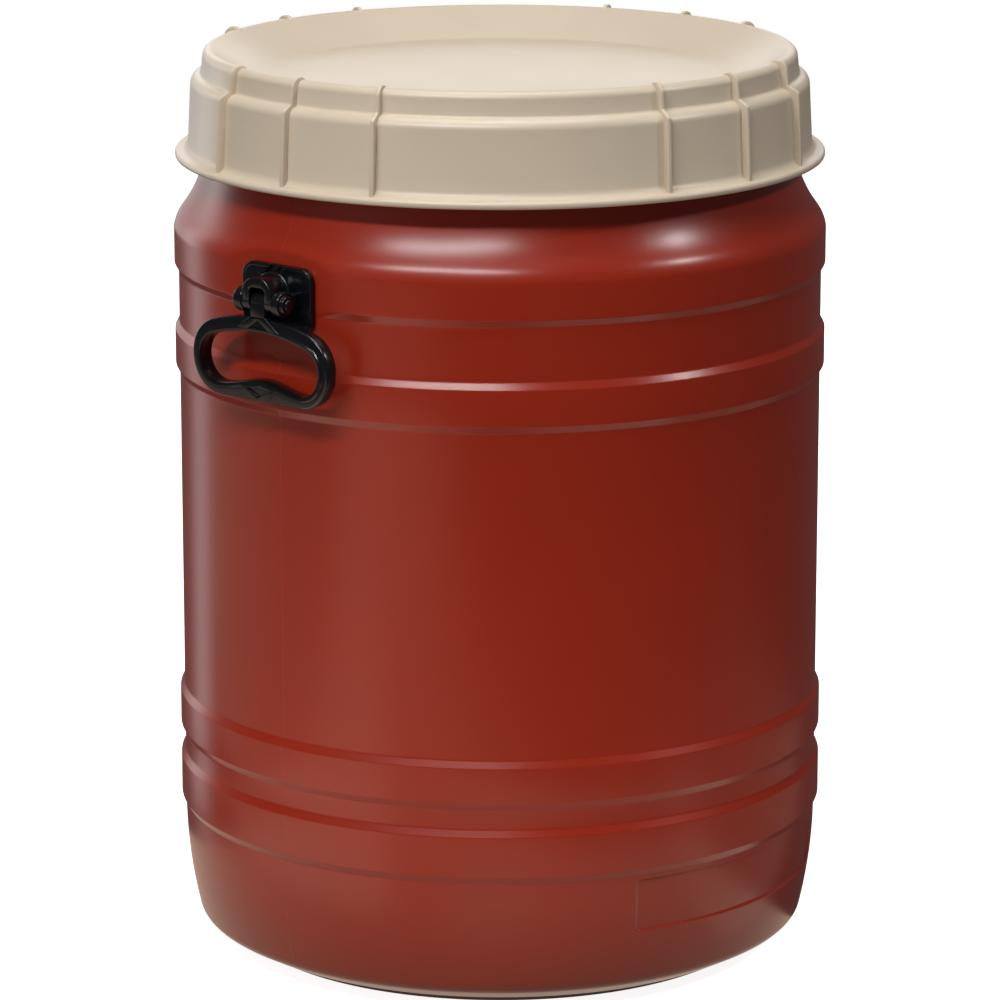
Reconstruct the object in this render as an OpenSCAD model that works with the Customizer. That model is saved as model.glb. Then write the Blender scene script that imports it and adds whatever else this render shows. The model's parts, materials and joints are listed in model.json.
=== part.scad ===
// Wide-neck plastic drum with a screw lid and two swing handles.
// Millimetres. The origin is the centre of the base on the floor, +Z is up,
// the handles lie on -X and +X, and the marking panel faces -Y.

/* [Drum body] */
// Outside diameter over the hoops
hoop_d = 400; // [360:1:440]
// Depth of the body wall and of the grooves below the hoops
hoop_step = 2.6; // [1.5:0.1:4]
// Height of the sloping edges of the hoops
hoop_edge = 4.5; // [3:0.1:6]
// Height of a hoop
hoop_h = 21.6; // [16:0.2:26]
// Height of the lowest hoop
base_hoop_h = 24.8; // [16:0.2:28]
// Top edge of the lowest hoop above the floor
base_hoop_top = 114; // [106:1:130]
// Distance up to the top edge of the next hoop
lower_hoop_pitch = 42.5; // [38:0.5:60]
// Distance from the shoulder down to the top edge of the hoop below the handles
upper_hoop_pitch = 63; // [60:0.5:80]
// Top edge of the upper hoop above the floor, where the shoulder starts
shoulder_z = 448; // [400:1:500]
// Wall thickness of the body
wall = 3; // [2:0.1:4]

/* [Shoulder and neck] */
// Slope of the shoulder where it leaves the upper hoop
shoulder_start = 10; // [4:1:16]
// Steepest slope of the shoulder
shoulder_slope = 37.6; // [32:0.2:45]
// Radius of the shoulder's outward curve
shoulder_round = 23; // [12:1:30]
// How far the threaded neck lies inside the hoops
neck_in = 19.7; // [16:0.1:24]
// Height of the rim above the shoulder's start
neck_h = 102; // [98:1:120]
// How far the rim lies inside the threaded neck
rim_in = 2.3; // [1:0.1:4]

/* [Base] */
// How far the ring that stands on the floor lies inside the hoops
foot_in = 38; // [30:1:50]
// Width of that ring
foot_w = 12; // [6:1:20]
// Slope of the underside outside that ring
foot_slope = 28; // [20:1:35]
// Radius of the bottom corner
base_round = 9; // [6:0.5:14]
// Radius of the curve that draws the lower wall in
base_curve = 290; // [240:5:400]
// Rise of the middle of the base
push_up = 8; // [4:0.5:16]

/* [Marking panel] */
// Angle that the bare panel covers round the front
panel_angle = 55; // [30:1:70]
// Height of the panel
panel_h = 44; // [30:1:50]
// Gap between the panel and the edge of the lowest hoop
panel_gap = 4; // [2:0.5:10]
// Depth of the panel
panel_depth = 0.9; // [0.4:0.1:1.5]

/* [Lid] */
// Height of the lid from the flange to the crest
lid_h = 66; // [60:1:72]
// Wall thickness of the lid
lid_wall = 3; // [2:0.1:4]
// Room for the threads between the neck and the skirt
thread_room = 7.7; // [5:0.1:10]
// Width of the flange outside the skirt
flange_w = 7.8; // [7:0.1:14]
// Thickness of the flange
flange_t = 4.5; // [3:0.1:6]
// Radius between flange and skirt
flange_fillet = 5; // [2:0.5:6]
// How far the skirt draws in towards the step
skirt_taper = 2.1; // [1:0.1:3]
// Height of the crest above the step
ring_h = 22; // [18:0.5:26]
// How far the ring draws in towards the crest
ring_taper = 1; // [0.4:0.1:2]
// Gap between the rim and the ring round it
ring_gap = 0.4; // [0.3:0.05:1]
// Rounding of the step
step_round = 7; // [4:0.5:8]
// Angle that the step's rounding turns through
step_turn = 75; // [60:1:85]
// How much larger the crest's rounding is than the wall
crest_over = 2; // [1:0.1:2.8]
// Depth of the dished top
dish_depth = 17.4; // [12:0.2:20]
// Slope of the dish wall
dish_slope = 28; // [24:1:40]
// Rounding at the foot of the dish wall
dish_fillet = 10; // [4:1:14]

/* [Lid ribs] */
// Groups of grip ribs
rib_groups = 4; // [2:1:6]
// Ribs in a group
ribs_per_group = 3; // [1:1:5]
// Angle between the ribs of a group
rib_pitch = 18.5; // [6:0.5:20]
// Thickness of a rib
rib_t = 2.6; // [1.6:0.1:4]
// How far a rib stands out of the skirt and the ring
rib_proud = 4.3; // [2:0.1:5]
// How far a rib stands above the crest and the step
rib_top = 2; // [1:0.1:3]

/* [Seal] */
// Thickness of the seal ring
seal_t = 4; // [2.5:0.1:6]
// Gap between the seal's edges and its channel
seal_gap = 0.3; // [0.2:0.05:0.6]
// Height of the spigot ring that holds the seal from inside
spigot_h = 10; // [8:0.5:14]
// Gap between the spigot ring and the neck
spigot_gap = 1.5; // [0.6:0.1:3]

/* [Handle brackets] */
// Depth of the flat handle pocket below the hoops
pocket_depth = 4.4; // [3:0.1:7]
// Gap between the pocket's lower end and the hoop below it
pocket_gap = 1.5; // [0.5:0.1:6]
// Width of the plate outside the pin's ends
plate_side = 6; // [4:0.1:9]
// Height of the plate above the hood
plate_over = 3.8; // [3:0.1:6]
// Corner radius of the plate
plate_corner = 9; // [5:0.5:12]
// Thickness of the plate inside its rim
plate_t = 2.4; // [1.6:0.1:3]
// Height of the plate's rim
plate_rim_h = 2; // [1:0.1:3]
// Width of that rim
plate_rim_w = 2.6; // [1.6:0.1:3]
// Width of the notch in the rim above the hood
notch_w = 10; // [6:0.5:14]
// Thickness of the hood's cheeks
cheek_t = 5.8; // [4:0.1:7]
// Thickness of the hood above its slot
hood_top_t = 6; // [4:0.1:8]
// Corner radius of the hood
hood_corner = 8; // [4:0.5:9]
// Flare of the hood's foot
hood_flare = 1.5; // [0.5:0.1:3]
// Thickness of the cheeks below the pin
cheek_under = 2.5; // [1.5:0.1:3]
// Wall of the hinge bosses round the pin
boss_wall = 4; // [3:0.1:5]
// Length of a hinge boss
boss_l = 6; // [4:0.5:8]
// Wall of the collar on a boss
collar_wall = 2; // [1:0.1:2.8]
// Length of that collar
collar_l = 2.5; // [1:0.1:4]
// Depth of the dovetail lug that carries the bracket
lug_depth = 5; // [3:0.1:6]
// Width of the lug at its root
lug_w = 10; // [8:0.5:12]
// Height of the lug
lug_h = 16; // [10:0.5:18]
// Gap between the lug and its groove
lug_gap = 0.2; // [0.1:0.05:0.4]

/* [Hinge] */
// Distance of the hinge from the flat pocket
hinge_out = 15.4; // [15:0.1:18]
// Distance of the hinge below the shoulder's start
hinge_drop = 18; // [16:0.5:21]
// Diameter of the hinge pin
pin_d = 7; // [5:0.1:8]
// How far the pin stands out of each collar
pin_proud = 1.2; // [0.4:0.1:2]
// Gap all round between the pin and the bracket
pin_seat = 0.02; // [0.01:0.01:0.05]
// Gap all round between the pin and the grip
pin_run = 0.06; // [0.02:0.01:0.1]

/* [Grip] */
// Width of the grip
grip_w = 109; // [96:1:124]
// Thickness of the grip
grip_t = 11; // [9:0.5:12]
// Wall of the grip's knuckle round the pin
knuckle_wall = 2; // [1.5:0.1:2.5]
// Gap between the grip's upper bar and the bosses above it
grip_gap = 1.8; // [1:0.1:4]
// Height of the grip's loop
grip_h = 50.2; // [46:0.2:52]
// Thickness of the upper bar
upper_bar = 8.7; // [6:0.1:11]
// Thickness of the lower bar beside the palm swell
lower_bar = 6.5; // [5:0.1:9]
// Thickness of the end bars
end_bar = 6; // [4.5:0.1:9]
// Outer corner radius of the grip
grip_corner = 22; // [14:0.5:23]
// Radius of the arched upper bar
grip_arch = 140; // [100:5:300]
// Height of the palm swell on the lower bar
swell = 6.2; // [2:0.2:8]
// Width of the palm swell
swell_w = 60; // [40:1:70]
// Width of the stem
stem_w = 11; // [8:0.5:14]
// Gap between the stem and the hood on each side
stem_gap = 0.5; // [0.3:0.1:1]
// Gap between the stem and the back of the hood's slot
slot_room = 1.7; // [1.2:0.1:2.5]
// Gap between the stem, held level, and the top of the slot
slot_lift = 3.2; // [2.8:0.1:5]
// How far the hood stands out past the stem
hood_proud = 0.5; // [0:0.1:1]
// Width of the gusset at the upper bar
gusset_w = 34; // [26:1:40]
// Width of the bars round the hollows in the grip
web_edge = 2.6; // [1.6:0.1:3]
// Depth of those hollows
hollow_depth = 3.5; // [1:0.1:4]

/* [Hidden] */
$fn = 128;
// Past everything, for cuts that run right through
far = 1000;
// How deep joined solids reach into each other
sink = 1;
// How many straight lines draw a curve of an outline
curve_lines = 6;
// Shortest straight edge left between two curves
edge_min = 0.1;

hoop_r = hoop_d / 2;
groove_r = hoop_r - hoop_step;
neck_r = hoop_r - neck_in;
rim_r = neck_r - rim_in;
rim_z = shoulder_z + neck_h;
foot_r = hoop_r - foot_in;
lower_hoop_top = base_hoop_top + lower_hoop_pitch;
second_hoop_top = shoulder_z - upper_hoop_pitch;

// Shoulder: an outward curve about shoulder_c, then an inward one about neck_c
shoulder_c = [hoop_r, shoulder_z] - shoulder_round * [cos(shoulder_start), sin(shoulder_start)];
steepest = [cos(shoulder_slope), sin(shoulder_slope)];
neck_curve = (shoulder_c.x + shoulder_round * steepest.x - neck_r) / (1 - steepest.x);
neck_c = shoulder_c + (shoulder_round + neck_curve) * steepest;

// Base: the wall's curve about base_c, the corner about corner_c, then the sloping underside
base_c = [groove_r - base_curve, base_hoop_top - base_hoop_h - hoop_edge];
foot_dir = [cos(foot_slope), sin(foot_slope)];
foot_up = [-sin(foot_slope), cos(foot_slope)];
corner_from = [foot_r, 0] + base_round * foot_up - base_c;
corner_run = -corner_from * foot_dir
    + sqrt(pow(corner_from * foot_dir, 2) - corner_from * corner_from + pow(base_curve - base_round, 2));
corner_c = base_c + corner_from + corner_run * foot_dir;
corner_turn = atan2(corner_c.y - base_c.y, corner_c.x - base_c.x);

panel_top = base_c.y - panel_gap;
panel_z = panel_top - panel_h;

// Lid: radii from the neck out, heights from the crest down
skirt_r = neck_r + thread_room + lid_wall;
skirt_top_r = skirt_r - skirt_taper;
flange_r = skirt_r + flange_w;
channel_r = rim_r + ring_gap;
ring_top_r = channel_r + lid_wall;
ring_r = ring_top_r + ring_taper;
seal_top = rim_z + seal_t;
crest_z = seal_top + lid_wall;
flange_z = crest_z - lid_h;
flange_top = flange_z + flange_t;
skirt_z = flange_top + flange_fillet;
step_z = crest_z - ring_h;
neck_end = step_z - rim_in;
dish_z = crest_z - dish_depth;
crest_round = lid_wall + crest_over;
crest_c = [ring_top_r - crest_round, crest_z - crest_round];
step_end = [skirt_top_r - step_round * (1 - cos(step_turn)), step_z + step_round * sin(step_turn)];
ring_z = step_end.y + step_end.x - ring_r;
dish_start = crest_c + crest_round * [-sin(dish_slope), cos(dish_slope)];
dish_end_r = dish_start.x - (dish_start.y - dish_z) / tan(dish_slope);
dish_blend = dish_fillet * tan(dish_slope / 2);
dish_low = [dish_end_r - dish_blend, dish_z];
under_dish_r = dish_end_r + lid_wall * tan(dish_slope / 2);
spigot_r = rim_r - wall - spigot_gap;
spigot_in_r = spigot_r - lid_wall;
seal_in_r = spigot_r + seal_gap;
seal_out_r = channel_r - seal_gap;

// Hinge and bracket: local X is outward, Y along the hinge, Z up, from the hinge's middle
pocket_r = hoop_r - pocket_depth;
pocket_z = second_hoop_top + hoop_edge + pocket_gap;
hinge_r = pocket_r + hinge_out;
hinge_z = shoulder_z - hinge_drop;
pin_r = pin_d / 2;
grip_half = grip_t / 2;
knuckle_r = pin_r + knuckle_wall;
stem_deep = max(grip_half, knuckle_r);
stem_half = stem_w / 2;
slot_half = stem_half + stem_gap;
slot_top = stem_deep + slot_lift;
slot_back = -stem_deep - slot_room;
hood_half = slot_half + cheek_t;
hood_z = slot_top + hood_top_t;
hood_bottom = -pin_r - cheek_under;
hood_front = stem_deep + hood_proud;
boss_r = pin_r + boss_wall;
boss_end = hood_half + boss_l;
collar_end = boss_end + collar_l;
pin_end = collar_end + pin_proud;
plate_back = -hinge_out;
plate_w = 2 * (pin_end + plate_side);
plate_h = 2 * (hood_z + hood_flare + plate_over);
lug_flare = lug_depth / 2;

// Grip: distances down from the hinge
grip_top = boss_r + grip_gap;
grip_bottom = grip_top + grip_h;
hand_top = grip_top + upper_bar;
hand_bottom = grip_bottom - lower_bar;

// Points round a centre from one angle to another, without the first one if it is the last line's end
function curve(centre, radius, from, to, first = 0) = [
    for (i = [first : curve_lines])
        let (turn = from + (to - from) * i / curve_lines)
            centre + radius * [cos(turn), sin(turn)]
];

module rounded(size, radius) {
    square([size.x - 2 * radius, size.y], center = true);
    square([size.x, size.y - 2 * radius], center = true);
    for (x = [-1, 1], y = [-1, 1])
        translate([x * (size.x / 2 - radius), y * (size.y / 2 - radius)]) circle(radius);
}

// Half section of the drum, set in by a distance from the outside
module drum_section(inset, top) {
    foot_shift = inset * tan(foot_slope / 2);
    hoops = [[lower_hoop_top, hoop_h], [second_hoop_top, hoop_h]];
    polygon([
        [0, push_up + inset],
        [foot_r - foot_w - push_up, push_up + inset],
        [foot_r - foot_w, inset],
        [foot_r - foot_shift, inset],
        each curve(corner_c, base_round - inset, foot_slope - 90, corner_turn),
        each curve(base_c, base_curve - inset, corner_turn, 0, 1),
        [hoop_r - inset, base_hoop_top - base_hoop_h],
        [hoop_r - inset, base_hoop_top],
        [groove_r - inset, base_hoop_top + hoop_edge],
        for (hoop = hoops) each [
            [groove_r - inset, hoop[0] - hoop[1] - hoop_edge],
            [hoop_r - inset, hoop[0] - hoop[1]],
            [hoop_r - inset, hoop[0]],
            [groove_r - inset, hoop[0] + hoop_edge]
        ],
        [groove_r - inset, shoulder_z - hoop_h - hoop_edge],
        [hoop_r - inset, shoulder_z - hoop_h],
        each curve(shoulder_c, shoulder_round - inset, shoulder_start, shoulder_slope),
        each curve(neck_c, neck_curve + inset, 180 + shoulder_slope, 180, 1),
        [neck_r - inset, neck_end],
        [rim_r - inset, neck_end + rim_in],
        [rim_r - inset, top],
        [0, top]
    ]);
}

// The flat pockets behind the handles, deepened by a distance
module handle_pockets(deeper) {
    for (side = [0, 180])
        rotate(side) translate([pocket_r - deeper, -hoop_r, pocket_z - deeper]) cube([far, hoop_d, far]);
}

// Everything within the angle and the heights of the marking panel
module panel_space() {
    intersection() {
        translate([0, 0, panel_z]) cylinder(r = far, h = panel_top - panel_z);
        rotate(-90 - panel_angle / 2) rotate_extrude(angle = panel_angle) square([far / 2, far]);
    }
}

module drum_outside() {
    difference() {
        rotate_extrude() drum_section(0, rim_z);
        handle_pockets(0);
        intersection() {
            panel_space();
            difference() {
                cylinder(r = hoop_d, h = rim_z);
                rotate_extrude() drum_section(panel_depth, rim_z + sink);
            }
        }
    }
}

// Dovetail on the pocket's flat, in hinge coordinates, grown by a gap
module lug(gap) {
    root = lug_w / 2 + gap;
    head = root + lug_flare;
    translate([0, 0, -lug_h / 2 - gap]) linear_extrude(lug_h + 2 * gap)
        polygon([[plate_back - sink, -root], [plate_back, -root], [plate_back + lug_depth + gap, -head],
                 [plate_back + lug_depth + gap, head], [plate_back, root], [plate_back - sink, root]]);
}

module at_hinge(side) {
    rotate(side) translate([hinge_r, 0, hinge_z]) children();
}

module drum_body() {
    color("#8f3224") difference() {
        union() {
            drum_outside();
            for (side = [0, 180]) at_hinge(side) lug(0);
        }
        difference() {
            rotate_extrude() drum_section(wall, rim_z + sink);
            handle_pockets(wall);
        }
    }
}

module lid_section() {
    edge = flange_t / 2;
    polygon([
        [0, dish_z - lid_wall],
        [under_dish_r, dish_z - lid_wall],
        [spigot_in_r, dish_z - lid_wall + (spigot_in_r - under_dish_r) * tan(dish_slope)],
        [spigot_in_r, seal_top - spigot_h],
        [spigot_r, seal_top - spigot_h],
        [spigot_r, seal_top],
        [channel_r, seal_top],
        [ring_r - lid_wall, ring_z],
        [skirt_top_r - lid_wall, step_z],
        [skirt_r - lid_wall, skirt_z],
        [skirt_r - lid_wall, flange_z],
        each curve([flange_r - edge, flange_z + edge], edge, -90, 90),
        each curve([skirt_r, flange_top] + flange_fillet * [1, 1], flange_fillet, 270, 180),
        each curve([skirt_top_r - step_round, step_z], step_round, 0, step_turn),
        [ring_r, ring_z],
        each curve(crest_c, crest_round, 0, 90 + dish_slope),
        each curve(dish_low + [0, dish_fillet], dish_fillet, dish_slope - 90, -90),
        [0, dish_z]
    ]);
}

// Outline of a grip rib, sunk into the lid's wall along its inner edge
module rib_outline() {
    sunk = lid_wall / 2;
    inner_r = channel_r + sunk;
    over_out_r = ring_top_r + rib_proud;
    over_in_r = dish_start.x - rib_top;
    over_r = (over_out_r - over_in_r) / 2;
    over_low = seal_top + lid_wall / 3;
    polygon([
        [skirt_r - sunk, flange_z + flange_t / 2],
        [skirt_r + rib_proud, flange_z + flange_t / 2],
        [skirt_r + rib_proud, skirt_z],
        [skirt_top_r + rib_proud, step_end.y - rib_top],
        [ring_r + rib_proud, step_end.y + rib_top],
        each curve([over_out_r - over_r, crest_c.y], over_r, 0, 180 - asin((over_low - crest_c.y) / over_r)),
        [inner_r, over_low],
        [inner_r, crest_c.y],
        [ring_r - sunk, ring_z],
        [skirt_top_r - sunk, step_z]
    ]);
}

module lid() {
    color("#dccbb2") {
        rotate_extrude() lid_section();
        for (group = [0 : rib_groups - 1], rib = [0 : ribs_per_group - 1])
            rotate(group * 360 / rib_groups + (rib - (ribs_per_group - 1) / 2) * rib_pitch)
                rotate([90, 0, 0]) linear_extrude(rib_t, center = true) rib_outline();
    }
}

module lid_seal() {
    color("#2b2b2d")
        rotate_extrude() translate([seal_in_r, rim_z]) square([seal_out_r - seal_in_r, seal_t]);
}

// Draws an outline along the hinge and up, and gives it a length outwards
module outwards(from, length) {
    translate([from, 0, 0]) rotate([90, 0, 90]) linear_extrude(length) children();
}

module along_hinge(radius, half) {
    rotate([90, 0, 0]) cylinder(r = radius, h = 2 * half, center = true);
}

module hood_outline(grow) {
    height = hood_z - hood_bottom + grow;
    translate([0, hood_bottom + height / 2]) rounded([2 * (hood_half + grow), height], hood_corner);
    translate([-hood_half - grow, hood_bottom]) square([2 * (hood_half + grow), height / 2]);
}

module bracket(side) {
    plate = [plate_w, plate_h];
    rim = 2 * [plate_rim_w, plate_rim_w];
    color("#26282b") at_hinge(side) difference() {
        union() {
            difference() {
                outwards(plate_back, plate_t + plate_rim_h) rounded(plate, plate_corner);
                outwards(plate_back + plate_t, far) rounded(plate - rim, plate_corner - plate_rim_w);
                outwards(plate_back + plate_t, far)
                    translate([-notch_w / 2, 0]) square([notch_w, plate_h]);
            }
            outwards(plate_back, hinge_out + slot_back) hood_outline(hood_flare);
            outwards(plate_back, hinge_out + hood_front) hood_outline(0);
            along_hinge(boss_r, boss_end);
            translate([plate_back, -boss_end, -knuckle_r]) cube([hinge_out, 2 * boss_end, 2 * knuckle_r]);
            along_hinge(pin_r + collar_wall, collar_end);
        }
        translate([slot_back, -slot_half, slot_top - far]) cube([far, 2 * slot_half, far]);
        along_hinge(pin_r + pin_seat, far);
        lug(lug_gap);
        translate([0, 0, -lug_h]) lug(lug_gap);
    }
}

module hinge_pin(side) {
    color("#303236") at_hinge(side) along_hinge(pin_r, pin_end);
}

// The grip's loop seen from outside: the hinge is at the origin, up is +Y
// Largest corner radius that leaves a frame with an arched top whole
function most_corner(width, height, arch) =
    let (b = 4 * arch - 2 * height - width, c = pow(arch - height, 2) + pow(width / 2, 2) - arch * arch)
        (sqrt(b * b - 4 * c) - b) / 2;

// Outline of a frame with round corners and an arched top, hanging from a height
function arched_frame(width, height, corner, arch, top) =
    let (
        radius = min(corner, most_corner(width, height, arch) - edge_min),
        side = width / 2 - radius,
        low = top - height + radius,
        turn = acos(side / (arch - radius)),
        shoulder = top - arch + (arch - radius) * sin(turn)
    ) [
        each curve([side, low], radius, -90, 0),
        each curve([side, shoulder], radius, 0, turn),
        each curve([0, top - arch], arch, turn, 180 - turn, 1),
        each curve([-side, shoulder], radius, 180 - turn, 180, 1),
        each curve([-side, low], radius, 180, 270)
    ];

module loop_outline() {
    hand_h = hand_bottom - hand_top;
    swell_r = (pow(swell_w / 2, 2) + swell * swell) / (2 * swell);
    difference() {
        polygon(arched_frame(grip_w, grip_h, grip_corner, grip_arch, -grip_top));
        difference() {
            polygon(arched_frame(
                grip_w - 2 * end_bar, hand_h, grip_corner - end_bar, grip_arch - upper_bar, -hand_top));
            translate([0, swell - swell_r - hand_bottom]) circle(swell_r);
        }
    }
}

module gusset_outline() {
    polygon([[-stem_half, 0], [-stem_half, -grip_top], [-gusset_w / 2, -hand_top],
             [gusset_w / 2, -hand_top], [stem_half, -grip_top], [stem_half, 0]]);
}

// The two triangular hollows, above the hand opening and in the palm swell
module hollow_outlines() {
    upper = web_edge - hand_top;
    lower = swell - hand_bottom - web_edge;
    polygon([[-gusset_w / 4, upper], [gusset_w / 4, upper], [0, -grip_top]]);
    polygon([[-gusset_w / 4, lower], [0, web_edge - grip_bottom], [gusset_w / 4, lower]]);
}

module grip(side) {
    color("#1f2124") at_hinge(side) difference() {
        union() {
            outwards(-grip_half, grip_t) loop_outline();
            outwards(-grip_half, grip_t) gusset_outline();
            along_hinge(knuckle_r, stem_half);
        }
        along_hinge(pin_r + pin_run, far);
        outwards(grip_half - hollow_depth, far) hollow_outlines();
        outwards(hollow_depth - grip_half - far, far) hollow_outlines();
    }
}

drum_body();
lid();
lid_seal();
bracket(180);  // bracket_left
bracket(0);  // bracket_right
hinge_pin(180);  // hinge_pin_left
hinge_pin(0);  // hinge_pin_right
grip(180);  // grip_left
grip(0);  // grip_right
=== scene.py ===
"""Wide-neck plastic drum: its moulded surfaces, screw threads and swing handles, in a plain studio."""
import json
from math import atan2, ceil, copysign, cos, hypot, pi, radians, sin, sqrt, tan

import bmesh
import bpy
from bpy.props import FloatProperty, FloatVectorProperty, IntProperty, PointerProperty
from mathutils import Matrix, Vector


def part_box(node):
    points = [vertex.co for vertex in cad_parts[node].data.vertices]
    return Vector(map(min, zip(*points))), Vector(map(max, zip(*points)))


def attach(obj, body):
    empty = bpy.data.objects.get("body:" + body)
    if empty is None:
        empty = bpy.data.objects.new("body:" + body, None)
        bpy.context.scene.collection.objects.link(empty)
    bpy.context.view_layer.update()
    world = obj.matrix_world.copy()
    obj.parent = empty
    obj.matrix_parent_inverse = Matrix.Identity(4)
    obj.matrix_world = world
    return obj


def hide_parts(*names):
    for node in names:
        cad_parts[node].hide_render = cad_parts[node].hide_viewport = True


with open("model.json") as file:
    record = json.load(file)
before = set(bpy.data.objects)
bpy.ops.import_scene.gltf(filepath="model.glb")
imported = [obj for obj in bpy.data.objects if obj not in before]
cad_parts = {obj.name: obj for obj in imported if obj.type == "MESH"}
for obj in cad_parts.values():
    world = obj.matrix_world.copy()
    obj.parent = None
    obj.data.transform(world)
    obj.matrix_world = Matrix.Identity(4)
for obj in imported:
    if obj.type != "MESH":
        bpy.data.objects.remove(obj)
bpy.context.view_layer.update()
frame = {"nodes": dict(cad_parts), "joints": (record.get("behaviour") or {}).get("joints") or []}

bl_info = {
    "name": "Wide-Neck Drum",
    "version": (1, 0, 0),
    "blender": (4, 5, 0),
    "location": "View3D > Sidebar > Drum",
    "description": "Builds a moulded drum with a screw lid and swing handles, and a studio round it",
    "category": "Add Mesh",
}

MM = 0.001
FULL_TURN = 2 * pi
# Vertices closer than this are one vertex
MERGE = 1e-6
# Edges that turn more than this stay crisp in the shading, and are rounded over on plates
CRISP = radians(35)

JOINTS = {joint["name"]: joint for joint in frame["joints"]}
HINGE = Vector(JOINTS["right_grip_swing"]["pos_m"])
RIM_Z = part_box("drum_body")[1].z
PIN_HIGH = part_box("hinge_pin_right")[1]
PIN_R = PIN_HIGH.z - HINGE.z
# Which way each handle faces, in degrees round the drum
SIDES = {"left": 180, "right": 0}
# Steps in a round corner of the handles' plates, and in the wider corners of their hoods
PLATE_STEPS = 8
HOOD_STEPS = 10


def linear(colour):
    """An sRGB hex colour as linear red, green and blue."""
    parts = [int(colour[i:i + 2], 16) / 255 for i in (1, 3, 5)]
    return [c / 12.92 if c <= 0.04045 else ((c + 0.055) / 1.055) ** 2.4 for c in parts]


def length(name, description, millimetres):
    """A length property whose default is given in millimetres."""
    return FloatProperty(name=name, description=description, default=millimetres * MM,
                         unit="LENGTH", precision=4)


def angle(name, description, degrees):
    """An angle property whose default is given in degrees."""
    return FloatProperty(name=name, description=description, default=radians(degrees),
                         subtype="ANGLE")


def whole(name, description, number):
    """A whole number property."""
    return IntProperty(name=name, description=description, default=number)


def colour(name, description, default):
    """A colour property whose default is an sRGB hex value."""
    return FloatVectorProperty(name=name, description=description, default=linear(default),
                               subtype="COLOR", min=0, max=1)


class DrumBodySizes(bpy.types.PropertyGroup):
    """Sizes of the blow-moulded body"""
    hoop_r: length("Hoop radius", "Outside radius over the hoops", 200)
    hoop_step: length("Hoop height", "How far the hoops stand out of the wall", 2.6)
    hoop_edge: length("Hoop edge", "Height of the sloping edges of the hoops", 4.5)
    hoop_h: length("Hoop width", "Height of a hoop", 21.6)
    base_hoop_h: length("Base hoop width", "Height of the lowest hoop", 24.8)
    base_hoop_top: length("Base hoop top", "Top edge of the lowest hoop", 114)
    lower_hoop_top: length("Lower hoop top", "Top edge of the hoop above it", 156.5)
    second_hoop_top: length("Second hoop top", "Top edge of the hoop below the handles", 385)
    shoulder_z: length("Shoulder height", "Where the shoulder starts", 448)
    hoop_round: length("Hoop rounding", "Rounding of the hoops' corners", 1.6)
    groove_round: length("Groove rounding", "Rounding at the foot of the hoops", 2.4)
    wall: length("Wall", "Wall thickness", 3)
    shoulder_start: angle("Shoulder start", "Slope where the shoulder leaves the upper hoop", 10)
    shoulder_slope: angle("Shoulder slope", "Steepest slope of the shoulder", 37.6)
    shoulder_round: length("Shoulder rounding", "Radius of the shoulder's outward curve", 23)
    neck_r: length("Neck radius", "Outside radius of the neck under its thread", 180.3)
    neck_end: length("Neck end", "Height at which the neck draws in to the rim", 532.7)
    rim_r: length("Rim radius", "Outside radius of the rim", 178)
    rim_round: length("Rim rounding", "Rounding of the rim's edges", 1.2)
    foot_r: length("Foot radius", "Outside radius of the ring on the floor", 162)
    foot_w: length("Foot width", "Width of the ring on the floor", 12)
    foot_slope: angle("Foot slope", "Slope of the underside outside that ring", 28)
    foot_round: length("Foot rounding", "Rounding of that ring", 3)
    base_round: length("Base rounding", "Radius of the bottom corner", 9)
    base_curve: length("Base curve", "Radius of the curve that draws the wall in", 290)
    push_up: length("Push-up", "Rise of the middle of the base", 8)
    pocket_depth: length("Pocket depth", "Depth of the handle flats below the hoops", 4.4)
    pocket_low: length("Pocket bottom", "Height of the flats' lower end", 391)
    pocket_ledge: length("Pocket ledge", "Height of the ledge below a flat", 2.2)
    pocket_soft: length("Pocket edge", "Softness of the flats' edges", 0.7)
    panel_angle: angle("Panel angle", "Angle that the marking panel covers", 55)
    panel_turn: angle("Panel turn", "How far the panel lies round from the front", 3)
    panel_low: length("Panel bottom", "Height of the panel's lower edge", 48.6)
    panel_top: length("Panel top", "Height of the panel's upper edge", 81.8)
    panel_depth: length("Panel depth", "Depth of the panel", 1.2)
    panel_corner: length("Panel corner", "Corner radius of the panel", 3)
    panel_edge: length("Panel edge", "Width of the panel's sloping edge", 1)
    seam_h: length("Seam height", "Height of the mould's parting line", 0.16)
    seam_w: length("Seam width", "Half width of the mould's parting line", 0.6)


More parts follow.
